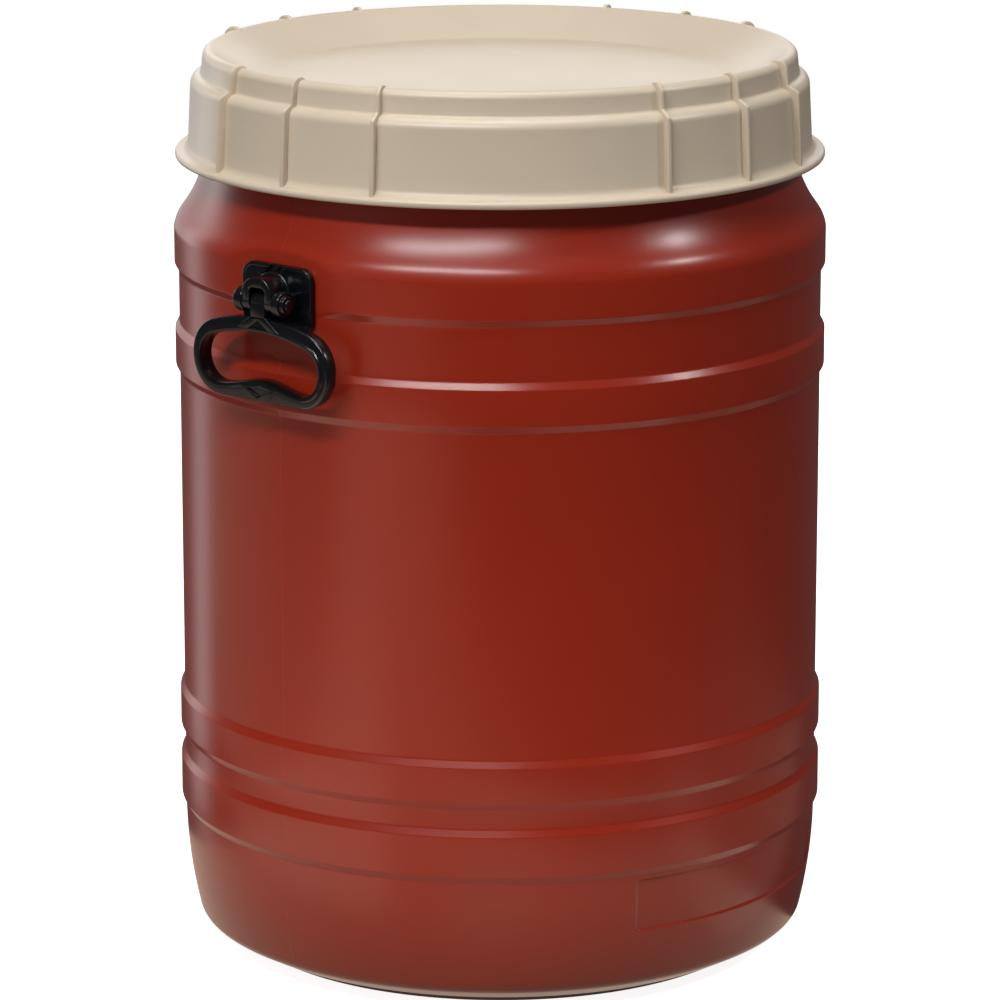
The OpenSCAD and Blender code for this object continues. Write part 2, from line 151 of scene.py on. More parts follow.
class LidSizes(bpy.types.PropertyGroup):
    """Sizes of the screw lid and of the threads"""
    wall: length("Wall", "Wall thickness", 3)
    flange_r: length("Flange radius", "Outside radius of the flange", 198.8)
    flange_z: length("Flange height", "Height of the flange's underside", 491)
    flange_t: length("Flange thickness", "Thickness of the flange", 4.5)
    flange_fillet: length("Flange fillet", "Radius between flange and skirt", 5)
    skirt_r: length("Skirt radius", "Outside radius of the skirt at the flange", 191)
    skirt_top_r: length("Skirt top radius", "Outside radius of the skirt at the step", 188.9)
    step_z: length("Step height", "Height at which the step's rounding starts", 535)
    step_round: length("Step rounding", "Rounding of the step", 7)
    step_turn: angle("Step turn", "Angle that the step's rounding turns through", 75)
    ring_r: length("Ring radius", "Outside radius of the ring above the step", 182.4)
    ring_top_r: length("Ring top radius", "Outside radius of that ring at the crest", 181.4)
    ring_fillet: length("Ring fillet", "Radius between step and ring", 1.8)
    crest_z: length("Crest height", "Height of the crest", 557)
    crest_round: length("Crest rounding", "Rounding of the crest", 5)
    dish_depth: length("Dish depth", "Depth of the dished top", 17.4)
    dish_slope: angle("Dish slope", "Slope of the dish wall", 28)
    dish_fillet: length("Dish fillet", "Rounding at the foot of the dish wall", 11)
    channel_r: length("Channel radius", "Radius of the seal's channel", 178.4)
    seal_top: length("Seal top", "Height of the seal's upper face", 554)
    spigot_r: length("Spigot radius", "Outside radius of the ring inside the seal", 173.5)
    spigot_h: length("Spigot height", "Height of that ring", 10)
    edge_round: length("Edge rounding", "Rounding of small edges", 0.8)
    rib_groups: whole("Rib groups", "Groups of grip ribs", 4)
    ribs_per_group: whole("Ribs", "Ribs in a group", 3)
    rib_pitch: angle("Rib pitch", "Angle between the ribs of a group", 18.5)
    rib_t: length("Rib thickness", "Thickness of a rib", 2.6)
    rib_proud: length("Rib height", "How far a rib stands out", 4.3)
    rib_top: length("Rib top", "How far a rib stands above the crest", 1.8)
    rib_round: length("Rib rounding", "Rounding of a rib's edges", 0.7)
    thread_lead: length("Thread lead", "Rise of the lid in one turn", 24)
    thread_starts: whole("Thread starts", "Threads side by side", 2)
    thread_h: length("Thread height", "How far a thread stands out", 4)
    thread_w: length("Thread width", "Width of a thread at its root", 6)
    thread_tip: length("Thread tip", "Width of a thread at its crest", 2.4)
    thread_sink: length("Thread sink", "How deep a thread's root lies in its wall", 2.6)
    thread_run_out: angle("Thread run-out", "Angle over which a thread's ends run out", 16)
    neck_thread_z: length("Neck thread", "Height at which the neck's threads start", 507)
    lid_thread_z: length("Lid thread", "Height at which the lid's threads start", 501.5)


class HandleSizes(bpy.types.PropertyGroup):
    """Sizes of the brackets and grips"""
    flat_out: length("Hinge distance", "Distance of the hinge from the flat pocket", 15.4)
    plate_w: length("Plate width", "Width of the plate", 55)
    plate_h: length("Plate height", "Height of the plate", 40)
    plate_corner: length("Plate corner", "Corner radius of the plate", 9)
    plate_t: length("Plate thickness", "Thickness of the plate inside its rim", 2.4)
    plate_rim_h: length("Rim height", "Height of the plate's rim", 2)
    plate_rim_w: length("Rim width", "Width of the plate's rim", 2.6)
    notch_w: length("Notch width", "Width of the notch in the rim", 10)
    hood_w: length("Hood width", "Width of the hood", 23.6)
    hood_top: length("Hood top", "Height of the hood above the hinge", 14.7)
    hood_bottom: length("Hood bottom", "How far the cheeks reach below the hinge", 6)
    hood_front: length("Hood front", "How far the hood stands out of the hinge", 6.3)
    hood_flare: length("Hood flare", "Flare of the hood's foot", 1.5)
    hood_corner: length("Hood corner", "Corner radius of the hood", 10)
    slot_w: length("Slot width", "Width of the hood's slot", 12)
    slot_top: length("Slot top", "Height of the slot above the hinge", 8.7)
    slot_back: length("Slot back", "Depth of the slot behind the hinge", 7.2)
    slot_corner: length("Slot corner", "Corner radius of the slot", 2.2)
    boss_r: length("Boss radius", "Radius of the hinge bosses", 7.5)
    boss_l: length("Boss length", "Length of a hinge boss", 6)
    collar_r: length("Collar radius", "Radius of the collar on a boss", 5.5)
    collar_l: length("Collar length", "Length of that collar", 2.5)
    edge_round: length("Edge rounding", "Rounding of the plastic's edges", 0.8)
    grip_w: length("Grip width", "Width of the grip", 109)
    grip_t: length("Grip thickness", "Thickness of the grip", 11)
    grip_top: length("Grip top", "Distance of the grip's top below the hinge", 9.3)
    grip_h: length("Grip height", "Height of the grip's loop", 50.2)
    grip_corner: length("Grip corner", "Outer corner radius of the grip", 22)
    grip_arch: length("Grip arch", "Radius of the arched upper bar", 140)
    upper_bar: length("Upper bar", "Thickness of the upper bar", 8.7)
    lower_bar: length("Lower bar", "Thickness of the lower bar", 7.5)
    end_bar: length("End bars", "Thickness of the end bars", 7)
    swell: length("Palm swell", "Height of the palm swell", 5)
    swell_w: length("Swell width", "Width of the palm swell", 66)
    lip_w: length("Lip width", "Width of the raised lip round the hand opening", 2.8)
    lip_h: length("Lip height", "How far the lip stands out of the bar's face", 1.1)
    stem_w: length("Stem width", "Width of the stem", 11)
    knuckle_r: length("Knuckle radius", "Radius of the stem's end round the pin", 5.5)
    gusset_w: length("Gusset width", "Width of the gusset at the upper bar", 34)
    hollow_w: length("Hollow width", "Width of the triangular hollow in the gusset", 17)
    web: length("Web", "Width of the bars round the hollows", 2.6)
    palm_w: length("Palm boss width", "Width of the boss on the palm swell at its top", 30)
    palm_foot_w: length("Palm boss foot", "Width of that boss at the grip's lower edge", 12)
    palm_hollow_w: length("Palm hollow width", "Width of the triangular hollow in that boss", 19)


class Finishes(bpy.types.PropertyGroup):
    """Colours of the materials"""
    body: colour("Body", "Brick red polyethylene", "#992812")
    lid: colour("Lid", "Ivory polyethylene", "#cfbfaa")
    handle: colour("Handle", "Black polypropylene", "#0c0e12")
    seal: colour("Seal", "Black rubber", "#202022")
    floor: colour("Floor", "Pale studio floor", "#f4f4f4")


class Studio(bpy.types.PropertyGroup):
    """Where the camera stands and how it looks"""
    azimuth: angle("Azimuth", "Direction of the camera round the drum", -49)
    distance: length("Distance", "Level distance of the camera from the axis", 3101.6)
    height: length("Camera height", "Height of the camera above the floor", 1021.7)
    pitch: angle("Pitch", "How far the camera looks down", 13.59)
    lens: FloatProperty(name="Lens", description="Focal length", default=184.54, unit="CAMERA")


GROUPS = {
    "drum_body_sizes": DrumBodySizes,
    "drum_lid_sizes": LidSizes,
    "drum_handle_sizes": HandleSizes,
    "drum_finishes": Finishes,
    "drum_studio": Studio,
}


# Lines and solids

def arc(centre, radius, start, end, steps):
    """Points on a circle from one angle to another."""
    turns = [start + (end - start) * i / steps for i in range(steps + 1)]
    return [(centre[0] + radius * cos(t), centre[1] + radius * sin(t)) for t in turns]


def soften(corners, closed=False, steps=4):
    """A line through corners of (across, up) or (across, up, radius), with arcs where there is a radius."""
    line = []
    last = len(corners) - 1
    for i, corner in enumerate(corners):
        here = Vector(corner[:2])
        if len(corner) < 3 or not (closed or 0 < i < last):
            line.append(here)
            continue
        back = (Vector(corners[i - 1][:2]) - here).normalized()
        ahead = (Vector(corners[(i + 1) % len(corners)][:2]) - here).normalized()
        half = back.angle(ahead) / 2
        centre = here + (back + ahead).normalized() * corner[2] / sin(half)
        begin = here + back * corner[2] / tan(half) - centre
        end = here + ahead * corner[2] / tan(half) - centre
        line += [centre + begin.slerp(end, k / steps) * corner[2] for k in range(steps + 1)]
    return line


def mirrored(half):
    """A run of corners, followed by its mirror image from its last corner back to its first."""
    return half + [(-across, *rest) for across, *rest in reversed(half)]


def refine(line, low, high, step):
    """The line with more points between two heights."""
    finer = [line[0]]
    for p, q in zip(line, line[1:]):
        inside = low < (p.y + q.y) / 2 < high
        cuts = ceil((q - p).length / step) if inside else 1
        finer += [p.lerp(q, k / cuts) for k in range(1, cuts + 1)]
    return finer


def smooth_step(value):
    """Rises softly from 0 to 1."""
    t = min(1, max(0, value))
    return t * t * (3 - 2 * t)


def lathe(bm, line, sweep, steps):
    """Spins a line of (radius, height) points about Z."""
    verts = [bm.verts.new((r, 0, z)) for r, z in line]
    edges = [bm.edges.new(pair) for pair in zip(verts, verts[1:])]
    bmesh.ops.spin(bm, geom=verts + edges, cent=(0, 0, 0), axis=(0, 0, 1), dvec=(0, 0, 0),
                   angle=sweep, steps=steps, use_merge=sweep == FULL_TURN, use_duplicate=False)


def lathe_sectors(line, sectors, start):
    """A new mesh spun from a line in sectors of (angle, steps), so that some are finer than others."""
    bm = bmesh.new()
    for sweep, steps in sectors:
        part = bmesh.new()
        lathe(part, line, sweep, steps)
        add_part(bm, part, Matrix.Rotation(start, 4, "Z"))
        start += sweep
    return bm


def add_part(bm, part, place):
    """Adds a finished part to a piece, at its place."""
    bmesh.ops.remove_doubles(part, verts=part.verts, dist=MERGE)
    bmesh.ops.recalc_face_normals(part, faces=part.faces)
    part.transform(place)
    mesh = bpy.data.meshes.new("part")
    part.to_mesh(mesh)
    part.free()
    bm.from_mesh(mesh)
    bpy.data.meshes.remove(mesh)


def slab(bm, outline, low, high, rounding, place, steps=3):
    """A plate with an outline of (along, up) points, from low to high outwards, with rounded edges."""
    part = bmesh.new()
    face = part.faces.new([part.verts.new((low, p[0], p[1])) for p in outline])
    grown = bmesh.ops.extrude_face_region(part, geom=[face])["geom"]
    moved = [v for v in grown if isinstance(v, bmesh.types.BMVert)]
    bmesh.ops.translate(part, verts=moved, vec=(high - low, 0, 0))
    bmesh.ops.recalc_face_normals(part, faces=part.faces)
    sharp = [e for e in part.edges if e.calc_face_angle(0) > CRISP]
    bmesh.ops.bevel(part, geom=sharp, offset=rounding, offset_type="OFFSET", affect="EDGES",
                    segments=steps, profile=0.5, material=-1, clamp_overlap=True)
    add_part(bm, part, place)


def post(bm, line, place, steps=64):
    """A turned part from a line of (radius, along) points, about the hinge's direction."""
    part = bmesh.new()
    lathe(part, line, FULL_TURN, steps)
    add_part(bm, part, place @ Matrix.Rotation(-pi / 2, 4, "X"))


def new_object(name, bm, material):
    """Makes an object of a finished mesh and puts it in the scene."""
    mesh = bpy.data.meshes.new(name)
    bm.to_mesh(mesh)
    bm.free()
    mesh.materials.append(material)
    made = bpy.data.objects.new(name, mesh)
    bpy.context.scene.collection.objects.link(made)
    return made


def keep(name, bm, material, body, slot, *nodes):
    """Makes a piece of the mesh, which rides on a body and stands for CAD nodes."""
    bmesh.ops.remove_doubles(bm, verts=bm.verts, dist=MERGE)
    bmesh.ops.recalc_face_normals(bm, faces=bm.faces)
    piece = new_object(name, bm, bpy.data.materials[material])
    piece.data.shade_smooth()
    piece.data.set_sharp_from_angle(angle=CRISP)
    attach(piece, body)
    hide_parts(*nodes)


# Materials

# The spans of a noise's values that the colour and the gloss of a plastic follow
MOTTLE_SPAN = (0.2, 0.8)
STREAK_SPAN = (0.1, 0.9)
# How far the streaks change the roughness
STREAK_DEPTH = 0.007
# Flow lines run up the wall, so the streaks are drawn out this many times in height
STREAK_STRETCH = 20
# Depth of the grain as a share of its width
GRAIN_DEPTH = 0.15


def add_node(tree, kind, links=None, **settings):
    """Adds a node, sets its own values or its sockets' values, and links its inputs."""
    made = tree.nodes.new(kind)
    for key, value in settings.items():
        if hasattr(made, key):
            setattr(made, key, value)
        else:
            made.inputs[key.replace("_", " ").title()].default_value = value
    for name, source in (links or {}).items():
        tree.links.new(source, made.inputs[name])
    return made


def set_sockets(node, values):
    """Sets a node's inputs by their names."""
    for name, value in values.items():
        node.inputs[name].default_value = value


def noise(tree, place, width_mm, detail):
    """A noise whose features are about as wide as given in millimetres."""
    return add_node(tree, "ShaderNodeTexNoise", {"Vector": place}, scale=1 / (width_mm * MM),
                    detail=detail).outputs["Fac"]


def spread(tree, value, span, middle, reach):
    """Maps a span of a noise's values to a range that reaches to both sides of a middle."""
    return add_node(tree, "ShaderNodeMapRange", {"Value": value}, from_min=span[0], from_max=span[1],
                    to_min=middle - reach, to_max=middle + reach).outputs["Result"]


def moulded(name, tint, roughness, mottle_mm, mottle, streak_mm, grain_mm, grain, specular=0.5):
    """A moulded plastic: soft mottling of its colour, flow streaks in its gloss and a fine grain."""
    material = bpy.data.materials.new(name)
    material.use_nodes = True
    tree = material.node_tree
    shader = tree.nodes["Principled BSDF"]
    place = add_node(tree, "ShaderNodeTexCoord").outputs["Object"]
    drawn = add_node(tree, "ShaderNodeMapping", {"Vector": place}, scale=(1, 1, 1 / STREAK_STRETCH))
    cloud = noise(tree, place, mottle_mm, detail=3)
    streak = noise(tree, drawn.outputs["Vector"], streak_mm, detail=1)
    speck = noise(tree, place, grain_mm, detail=2)
    shade = spread(tree, cloud, MOTTLE_SPAN, 1, mottle)
    tinted = add_node(tree, "ShaderNodeVectorMath", {"Scale": shade}, operation="SCALE")
    tinted.inputs[0].default_value = tint
    gloss = spread(tree, streak, STREAK_SPAN, roughness, STREAK_DEPTH)
    relief = add_node(tree, "ShaderNodeBump", {"Height": speck}, strength=grain,
                      distance=grain_mm * MM * GRAIN_DEPTH)
    tree.links.new(tinted.outputs["Vector"], shader.inputs["Base Color"])
    tree.links.new(gloss, shader.inputs["Roughness"])
    tree.links.new(relief.outputs["Normal"], shader.inputs["Normal"])
    set_sockets(shader, {"IOR": 1.5, "Specular IOR Level": specular})


class DRUM_OT_materials(bpy.types.Operator):
    """Makes the moulded plastics and the rubber"""
    bl_idname = "drum.materials"
    bl_label = "Materials"

    def execute(self, context):
        tints = context.scene.drum_finishes
        # Blow-moulded polyethylene: satin, slightly uneven, with wide flow lines up the wall. Its skin is
        # finer than this grain, which is drawn coarser so that it shows
        moulded("blow_moulded_polyethylene", tints.body, roughness=0.28, mottle_mm=70, mottle=0.04,
                streak_mm=20, grain_mm=4, grain=0.05)
        # Injection-moulded polyethylene: smoother and paler, almost even
        moulded("injection_moulded_polyethylene", tints.lid, roughness=0.34, mottle_mm=45, mottle=0.025,
                streak_mm=16, grain_mm=3, grain=0.04)
        # Injection-moulded polypropylene: satin black with a fine grain
        moulded("black_polypropylene", tints.handle, roughness=0.22, mottle_mm=12, mottle=0.12,
                streak_mm=3, grain_mm=0.5, grain=0.08)
        # Cured rubber: dull black
        moulded("seal_rubber", tints.seal, roughness=0.7, mottle_mm=10, mottle=0.12,
                streak_mm=3, grain_mm=0.4, grain=0.25, specular=0.3)
        return {"FINISHED"}


# Pieces

def body_line(s, inset):
    """Half section of the drum from the base's centre up to the neck's end, set in by a distance."""
    hoop = s.hoop_r - inset
    groove = hoop - s.hoop_step
    wall_foot = s.base_hoop_top - s.base_hoop_h - s.hoop_edge
    base_c = Vector((s.hoop_r - s.hoop_step - s.base_curve, wall_foot))
    slope = Vector((cos(s.foot_slope), sin(s.foot_slope)))
    slope_up = Vector((-slope.y, slope.x))
    start = Vector((s.foot_r, 0)) + s.base_round * slope_up - base_c
    along = start.dot(slope)
    run = sqrt(along ** 2 - start.length_squared + (s.base_curve - s.base_round) ** 2) - along
    corner_c = base_c + start + run * slope
    wall_turn = (corner_c - base_c).angle_signed(Vector((1, 0)))
    shoulder_c = Vector((s.hoop_r, s.shoulder_z))
    shoulder_c -= s.shoulder_round * Vector((cos(s.shoulder_start), sin(s.shoulder_start)))
    steep = Vector((cos(s.shoulder_slope), sin(s.shoulder_slope)))
    neck_curve = (shoulder_c.x + s.shoulder_round * steep.x - s.neck_r) / (1 - steep.x)
    neck_c = shoulder_c + (s.shoulder_round + neck_curve) * steep
    foot_shift = inset * tan(s.foot_slope / 2)
    corners = [
        (0, s.push_up + inset),
        (s.foot_r - s.foot_w - s.push_up, s.push_up + inset, s.foot_round),
        (s.foot_r - s.foot_w, inset, s.foot_round),
        (s.foot_r - foot_shift, inset, s.foot_round),
    ]
    corners += arc(corner_c, s.base_round - inset, s.foot_slope - pi / 2, wall_turn, steps=8)
    corners += arc(base_c, s.base_curve - inset, wall_turn, 0, steps=10)[1:-1]
    for top, height in ((s.base_hoop_top, s.base_hoop_h), (s.lower_hoop_top, s.hoop_h),
                        (s.second_hoop_top, s.hoop_h)):
        low = top - height
        corners += [(groove, low - s.hoop_edge, s.groove_round), (hoop, low, s.hoop_round),
                    (hoop, top, s.hoop_round), (groove, top + s.hoop_edge, s.groove_round)]
    # The upper hoop runs into the shoulder
    low = s.shoulder_z - s.hoop_h
    corners += [(groove, low - s.hoop_edge, s.groove_round), (hoop, low, s.hoop_round)]
    corners += arc(shoulder_c, s.shoulder_round - inset, s.shoulder_start, s.shoulder_slope, steps=8)
    corners += arc(neck_c, neck_curve + inset, pi + s.shoulder_slope, pi, steps=12)
    corners += [(s.neck_r - inset, s.neck_end, s.rim_round),
                (s.rim_r - inset, s.neck_end + s.neck_r - s.rim_r, s.rim_round)]
    return corners


def press_flats(verts, plane, low, ledge, soft):
    """Presses the walls flat behind the handles, down to a ledge."""
    # Deeper inside the plane than this nothing is pressed
    reach = 10 * soft
    for v in verts:
        share = smooth_step((v.co.z - low) / ledge + 0.5)
        over = abs(v.co.x) - plane
        if over > -reach:
            pressed = (over - hypot(over, soft)) / 2
            v.co.x -= copysign((over - pressed) * share, v.co.x)


def press_panel(verts, s):
    """Presses the bare marking panel into the front."""
    half_w = s.hoop_r * s.panel_angle / 2
    half_h = (s.panel_top - s.panel_low) / 2
    middle = (s.panel_top + s.panel_low) / 2
    for v in verts:
        outward = Vector((v.co.x, v.co.y, 0))
        across = abs(atan2(v.co.x, -v.co.y) - s.panel_turn) * s.hoop_r - half_w + s.panel_corner
        up = abs(v.co.z - middle) - half_h + s.panel_corner
        away = hypot(max(across, 0), max(up, 0)) + min(max(across, up), 0) - s.panel_corner
        v.co -= outward.normalized() * s.panel_depth * smooth_step(-away / s.panel_edge)


def raise_seam(verts, s):
    """Raises the mould's parting line on both sides, from the foot to the neck's end."""
    for v in verts:
        outward = Vector((v.co.x, v.co.y, 0))
        if outward.length > s.foot_r and v.co.z < s.neck_end:
            v.co += outward.normalized() * s.seam_h * smooth_step(1 - abs(v.co.y) / s.seam_w)


class DRUM_OT_body(bpy.types.Operator):
    """Turns the body, presses its handle flats and marking panel, and raises its parting line"""
    bl_idname = "drum.body"
    bl_label = "Body"

    def execute(self, context):
        s = context.scene.drum_body_sizes
        plane = s.hoop_r - s.pocket_depth
        rim_inner = s.rim_r - s.wall
        inner_top = RIM_Z - 2 * s.rim_round
        outer = soften(body_line(s, 0) + [
            (s.rim_r, RIM_Z, s.rim_round), (rim_inner, RIM_Z, s.rim_round), (rim_inner, inner_top)])
        # Close rows at the flats' ledges, up the flats and at the panel's edges: from, to and row height
        ledge_zone = 4 * MM
        flat_top = s.shoulder_z + 14 * MM
        outer = refine(outer, s.pocket_low - ledge_zone, s.pocket_low + ledge_zone, 0.8 * MM)
        outer = refine(outer, s.pocket_low + ledge_zone, flat_top, 2.5 * MM)
        for edge_z in (s.panel_low, s.panel_top):
            for zone, row in ((2 * MM, 0.5 * MM), (8 * MM, 2 * MM)):
                outer = refine(outer, edge_z - zone, edge_z + zone, row)
        inner = soften(body_line(s, s.wall) + [(rim_inner, inner_top)], steps=2)
        # Fine steps at the parting line, over the flats and at the panel's edges, coarse ones between
        seam = radians(0.25)
        flat = radians(13)
        fine = radians(3)
        edge = s.panel_angle / 2
        gap = pi / 2 - flat - edge - fine / 4
        # Each sector is an angle and its number of steps
        seam_part = (2 * seam, 6)
        flat_part = (flat - seam, 18)
        back_part = (pi - 2 * flat, 68)
        edge_part = (fine, 10)
        panel_part = (2 * edge - 1.5 * fine, 24)
        gap_steps = 20
        sectors = [
            seam_part, flat_part, back_part, flat_part, seam_part, flat_part,
            (gap + s.panel_turn, gap_steps), edge_part, panel_part, edge_part,
            (gap - s.panel_turn, gap_steps), flat_part,
        ]
        bm = lathe_sectors(outer, sectors, -seam)
        press_flats(bm.verts, plane, s.pocket_low, s.pocket_ledge, s.pocket_soft)
        press_panel(bm.verts, s)
        raise_seam(bm.verts, s)
        lining = lathe_sectors(inner, sectors, -seam)
        press_flats(lining.verts, plane - s.wall, s.pocket_low - s.wall, s.pocket_ledge, s.pocket_soft)
        add_part(bm, lining, Matrix.Identity(4))
        keep("drum_shell", bm, "blow_moulded_polyethylene", "drum", "body_polyethylene", "drum_body")
        return {"FINISHED"}


def lid_line(s):
    """Half section of the lid, from the dish's centre over the crest, down the skirt and back inside."""
    dish_z = s.crest_z - s.dish_depth
    crest_c = Vector((s.ring_top_r - s.crest_round, s.crest_z - s.crest_round))
    dish_start = crest_c + s.crest_round * Vector((-sin(s.dish_slope), cos(s.dish_slope)))
    dish_end = dish_start.x - (dish_start.y - dish_z) / tan(s.dish_slope)
    step_c = (s.skirt_top_r - s.step_round, s.step_z)
    step_end = arc(step_c, s.step_round, s.step_turn, s.step_turn, steps=1)[0]
    # The step's slope runs on to the ring
    shelf_z = step_end[1] + (step_end[0] - s.ring_r) / tan(s.step_turn)
    flange_top = s.flange_z + s.flange_t
    flange_round = s.flange_t * 0.45
    skirt_z = flange_top + s.flange_fillet
    spigot_in = s.spigot_r - s.wall
    under_z = dish_z - s.wall
    under_r = dish_end + s.wall * tan(s.dish_slope / 2)
    small = s.edge_round
    return [
        (0, dish_z),
        (dish_end, dish_z, s.dish_fillet),
        *arc(crest_c, s.crest_round, pi / 2 + s.dish_slope, 0, steps=12),
        (s.ring_r, shelf_z, s.ring_fillet),
        *arc(step_c, s.step_round, s.step_turn, 0, steps=8),
        (s.skirt_r, skirt_z - s.flange_fillet, s.flange_fillet),
        (s.flange_r, flange_top, flange_round),
        (s.flange_r, s.flange_z, flange_round),
        (s.skirt_r - s.wall, s.flange_z, small),
        (s.skirt_r - s.wall, skirt_z),
        (s.skirt_top_r - s.wall, s.step_z, s.wall),
        (s.ring_r - s.wall, shelf_z, small),
        (s.channel_r, s.seal_top, small),
        (s.spigot_r, s.seal_top, small / 2),
        (s.spigot_r, s.seal_top - s.spigot_h, small),
        (spigot_in, s.seal_top - s.spigot_h, small),
        (spigot_in, under_z + (spigot_in - under_r) * tan(s.dish_slope), small),
        (under_r, under_z, s.dish_fillet),
        (0, under_z),
    ]


def rib_line(s):
    """Outline of a grip rib, sunk into the lid's wall along its inner edge."""
    sunk = s.wall / 2
    crest_c = Vector((s.ring_top_r - s.crest_round, s.crest_z - s.crest_round))
    step_top = s.step_z + s.step_round * sin(s.step_turn)
    low = s.flange_z + s.flange_t / 2
    skirt_z = s.flange_z + s.flange_t + s.flange_fillet
    outer = s.ring_top_r + s.rib_proud
    inner = crest_c.x - s.crest_round * sin(s.dish_slope) - s.rib_top
    over_c = ((outer + inner) / 2, crest_c.y)
    over_r = (outer - inner) / 2
    rise = (s.crest_z - sunk - crest_c.y) / over_r
    return [
        (s.skirt_r - sunk, low),
        (s.skirt_r + s.rib_proud, low),
        (s.skirt_r + s.rib_proud, skirt_z),
        (s.skirt_top_r + s.rib_proud, step_top - s.rib_top, s.rib_proud / 2),
        (s.ring_r + s.rib_proud, step_top + s.rib_top, s.rib_top / 2),
        *arc(over_c, over_r, 0, pi - atan2(rise, sqrt(1 - rise ** 2)), steps=14),
        (s.channel_r + sunk, s.crest_z - sunk),
        (s.channel_r + sunk, crest_c.y),
        (s.ring_r - sunk, step_top + s.rib_top),
        (s.skirt_top_r - sunk, s.step_z),
    ]


class DRUM_OT_lid(bpy.types.Operator):
    """Turns the lid and sets its grip ribs round it"""
    bl_idname = "drum.lid"
    bl_label = "Lid"

    def execute(self, context):
        s = context.scene.drum_lid_sizes
        bm = bmesh.new()
        lathe(bm, soften(lid_line(s)), FULL_TURN, steps=288)
        outline = soften(rib_line(s), closed=True)
        # A rib's outline lies in the plane through the axis: out along X, up along Z
        upright = Matrix.Rotation(-pi / 2, 4, "Z")
        for group in range(s.rib_groups):
            for rib in range(s.ribs_per_group):
                turn = group * FULL_TURN / s.rib_groups + (rib - (s.ribs_per_group - 1) / 2) * s.rib_pitch
                slab(bm, outline, -s.rib_t / 2, s.rib_t / 2, s.rib_round,
                     Matrix.Rotation(turn, 4, "Z") @ upright)
        keep("screw_lid", bm, "injection_moulded_polyethylene", "lid", "lid_polyethylene", "lid")
        return {"FINISHED"}


def helix(bm, root_r, outward, low, s):
    """The threads on a wall: a tapered ridge that rises by the lead in each turn."""
    steps = 144
    # The share of the ridge's height that is left at its very ends, inside the wall
    least = 0.2
    for start in range(s.thread_starts):
        part = bmesh.new()
        turned = Matrix.Rotation(start * FULL_TURN / s.thread_starts, 3, "Z")
        tip = root_r + outward * s.thread_h
        sunk = root_r - outward * s.thread_sink
        section = [(sunk, -s.thread_w / 2), (tip, -s.thread_tip / 2),
                   (tip, s.thread_tip / 2), (sunk, s.thread_w / 2)]
        verts = [part.verts.new(turned @ Vector((r, 0, low + z))) for r, z in section]
        face = part.faces.new(verts)
        geometry = [*verts, *face.edges, face]
        bmesh.ops.spin(part, geom=geometry, cent=(0, 0, 0), axis=(0, 0, 1),
                       dvec=(0, 0, s.thread_lead / steps), angle=FULL_TURN, steps=steps,
                       use_merge=False, use_duplicate=False)
        # Each end runs out softly into the wall
        for v in part.verts:
            along = turned.inverted() @ v.co
            turn = atan2(along.y, along.x) / FULL_TURN % 1
            share = max(least, smooth_step(min(turn, 1 - turn) * FULL_TURN / s.thread_run_out))
            v.co.xy = v.co.xy.normalized() * (sunk + (v.co.xy.length - sunk) * share)
        add_part(bm, part, Matrix.Identity(4))


class DRUM_OT_threads(bpy.types.Operator):
    """Winds the threads round the neck and inside the lid"""
    bl_idname = "drum.threads"
    bl_label = "Threads"

    def execute(self, context):
        lid = context.scene.drum_lid_sizes
        neck = bmesh.new()
        helix(neck, context.scene.drum_body_sizes.neck_r, 1, lid.neck_thread_z, lid)
        keep("neck_thread", neck, "blow_moulded_polyethylene", "drum", "body_polyethylene")
        skirt = bmesh.new()
        helix(skirt, lid.skirt_top_r - lid.wall, -1, lid.lid_thread_z, lid)
        keep("lid_thread", skirt, "injection_moulded_polyethylene", "lid", "lid_polyethylene")
        return {"FINISHED"}


def frame_outline(width, height, corner):
    """Closed outline of a rectangle with round corners about the origin."""
    x = width / 2
    z = height / 2
    return soften(mirrored([(x, -z, corner), (x, z, corner)]), True, PLATE_STEPS)


def at_hinge(side):
    """Place of a handle: X outwards from its hinge, Y along it, Z up."""
    return Matrix.Rotation(radians(side), 4, "Z") @ Matrix.Translation(HINGE)


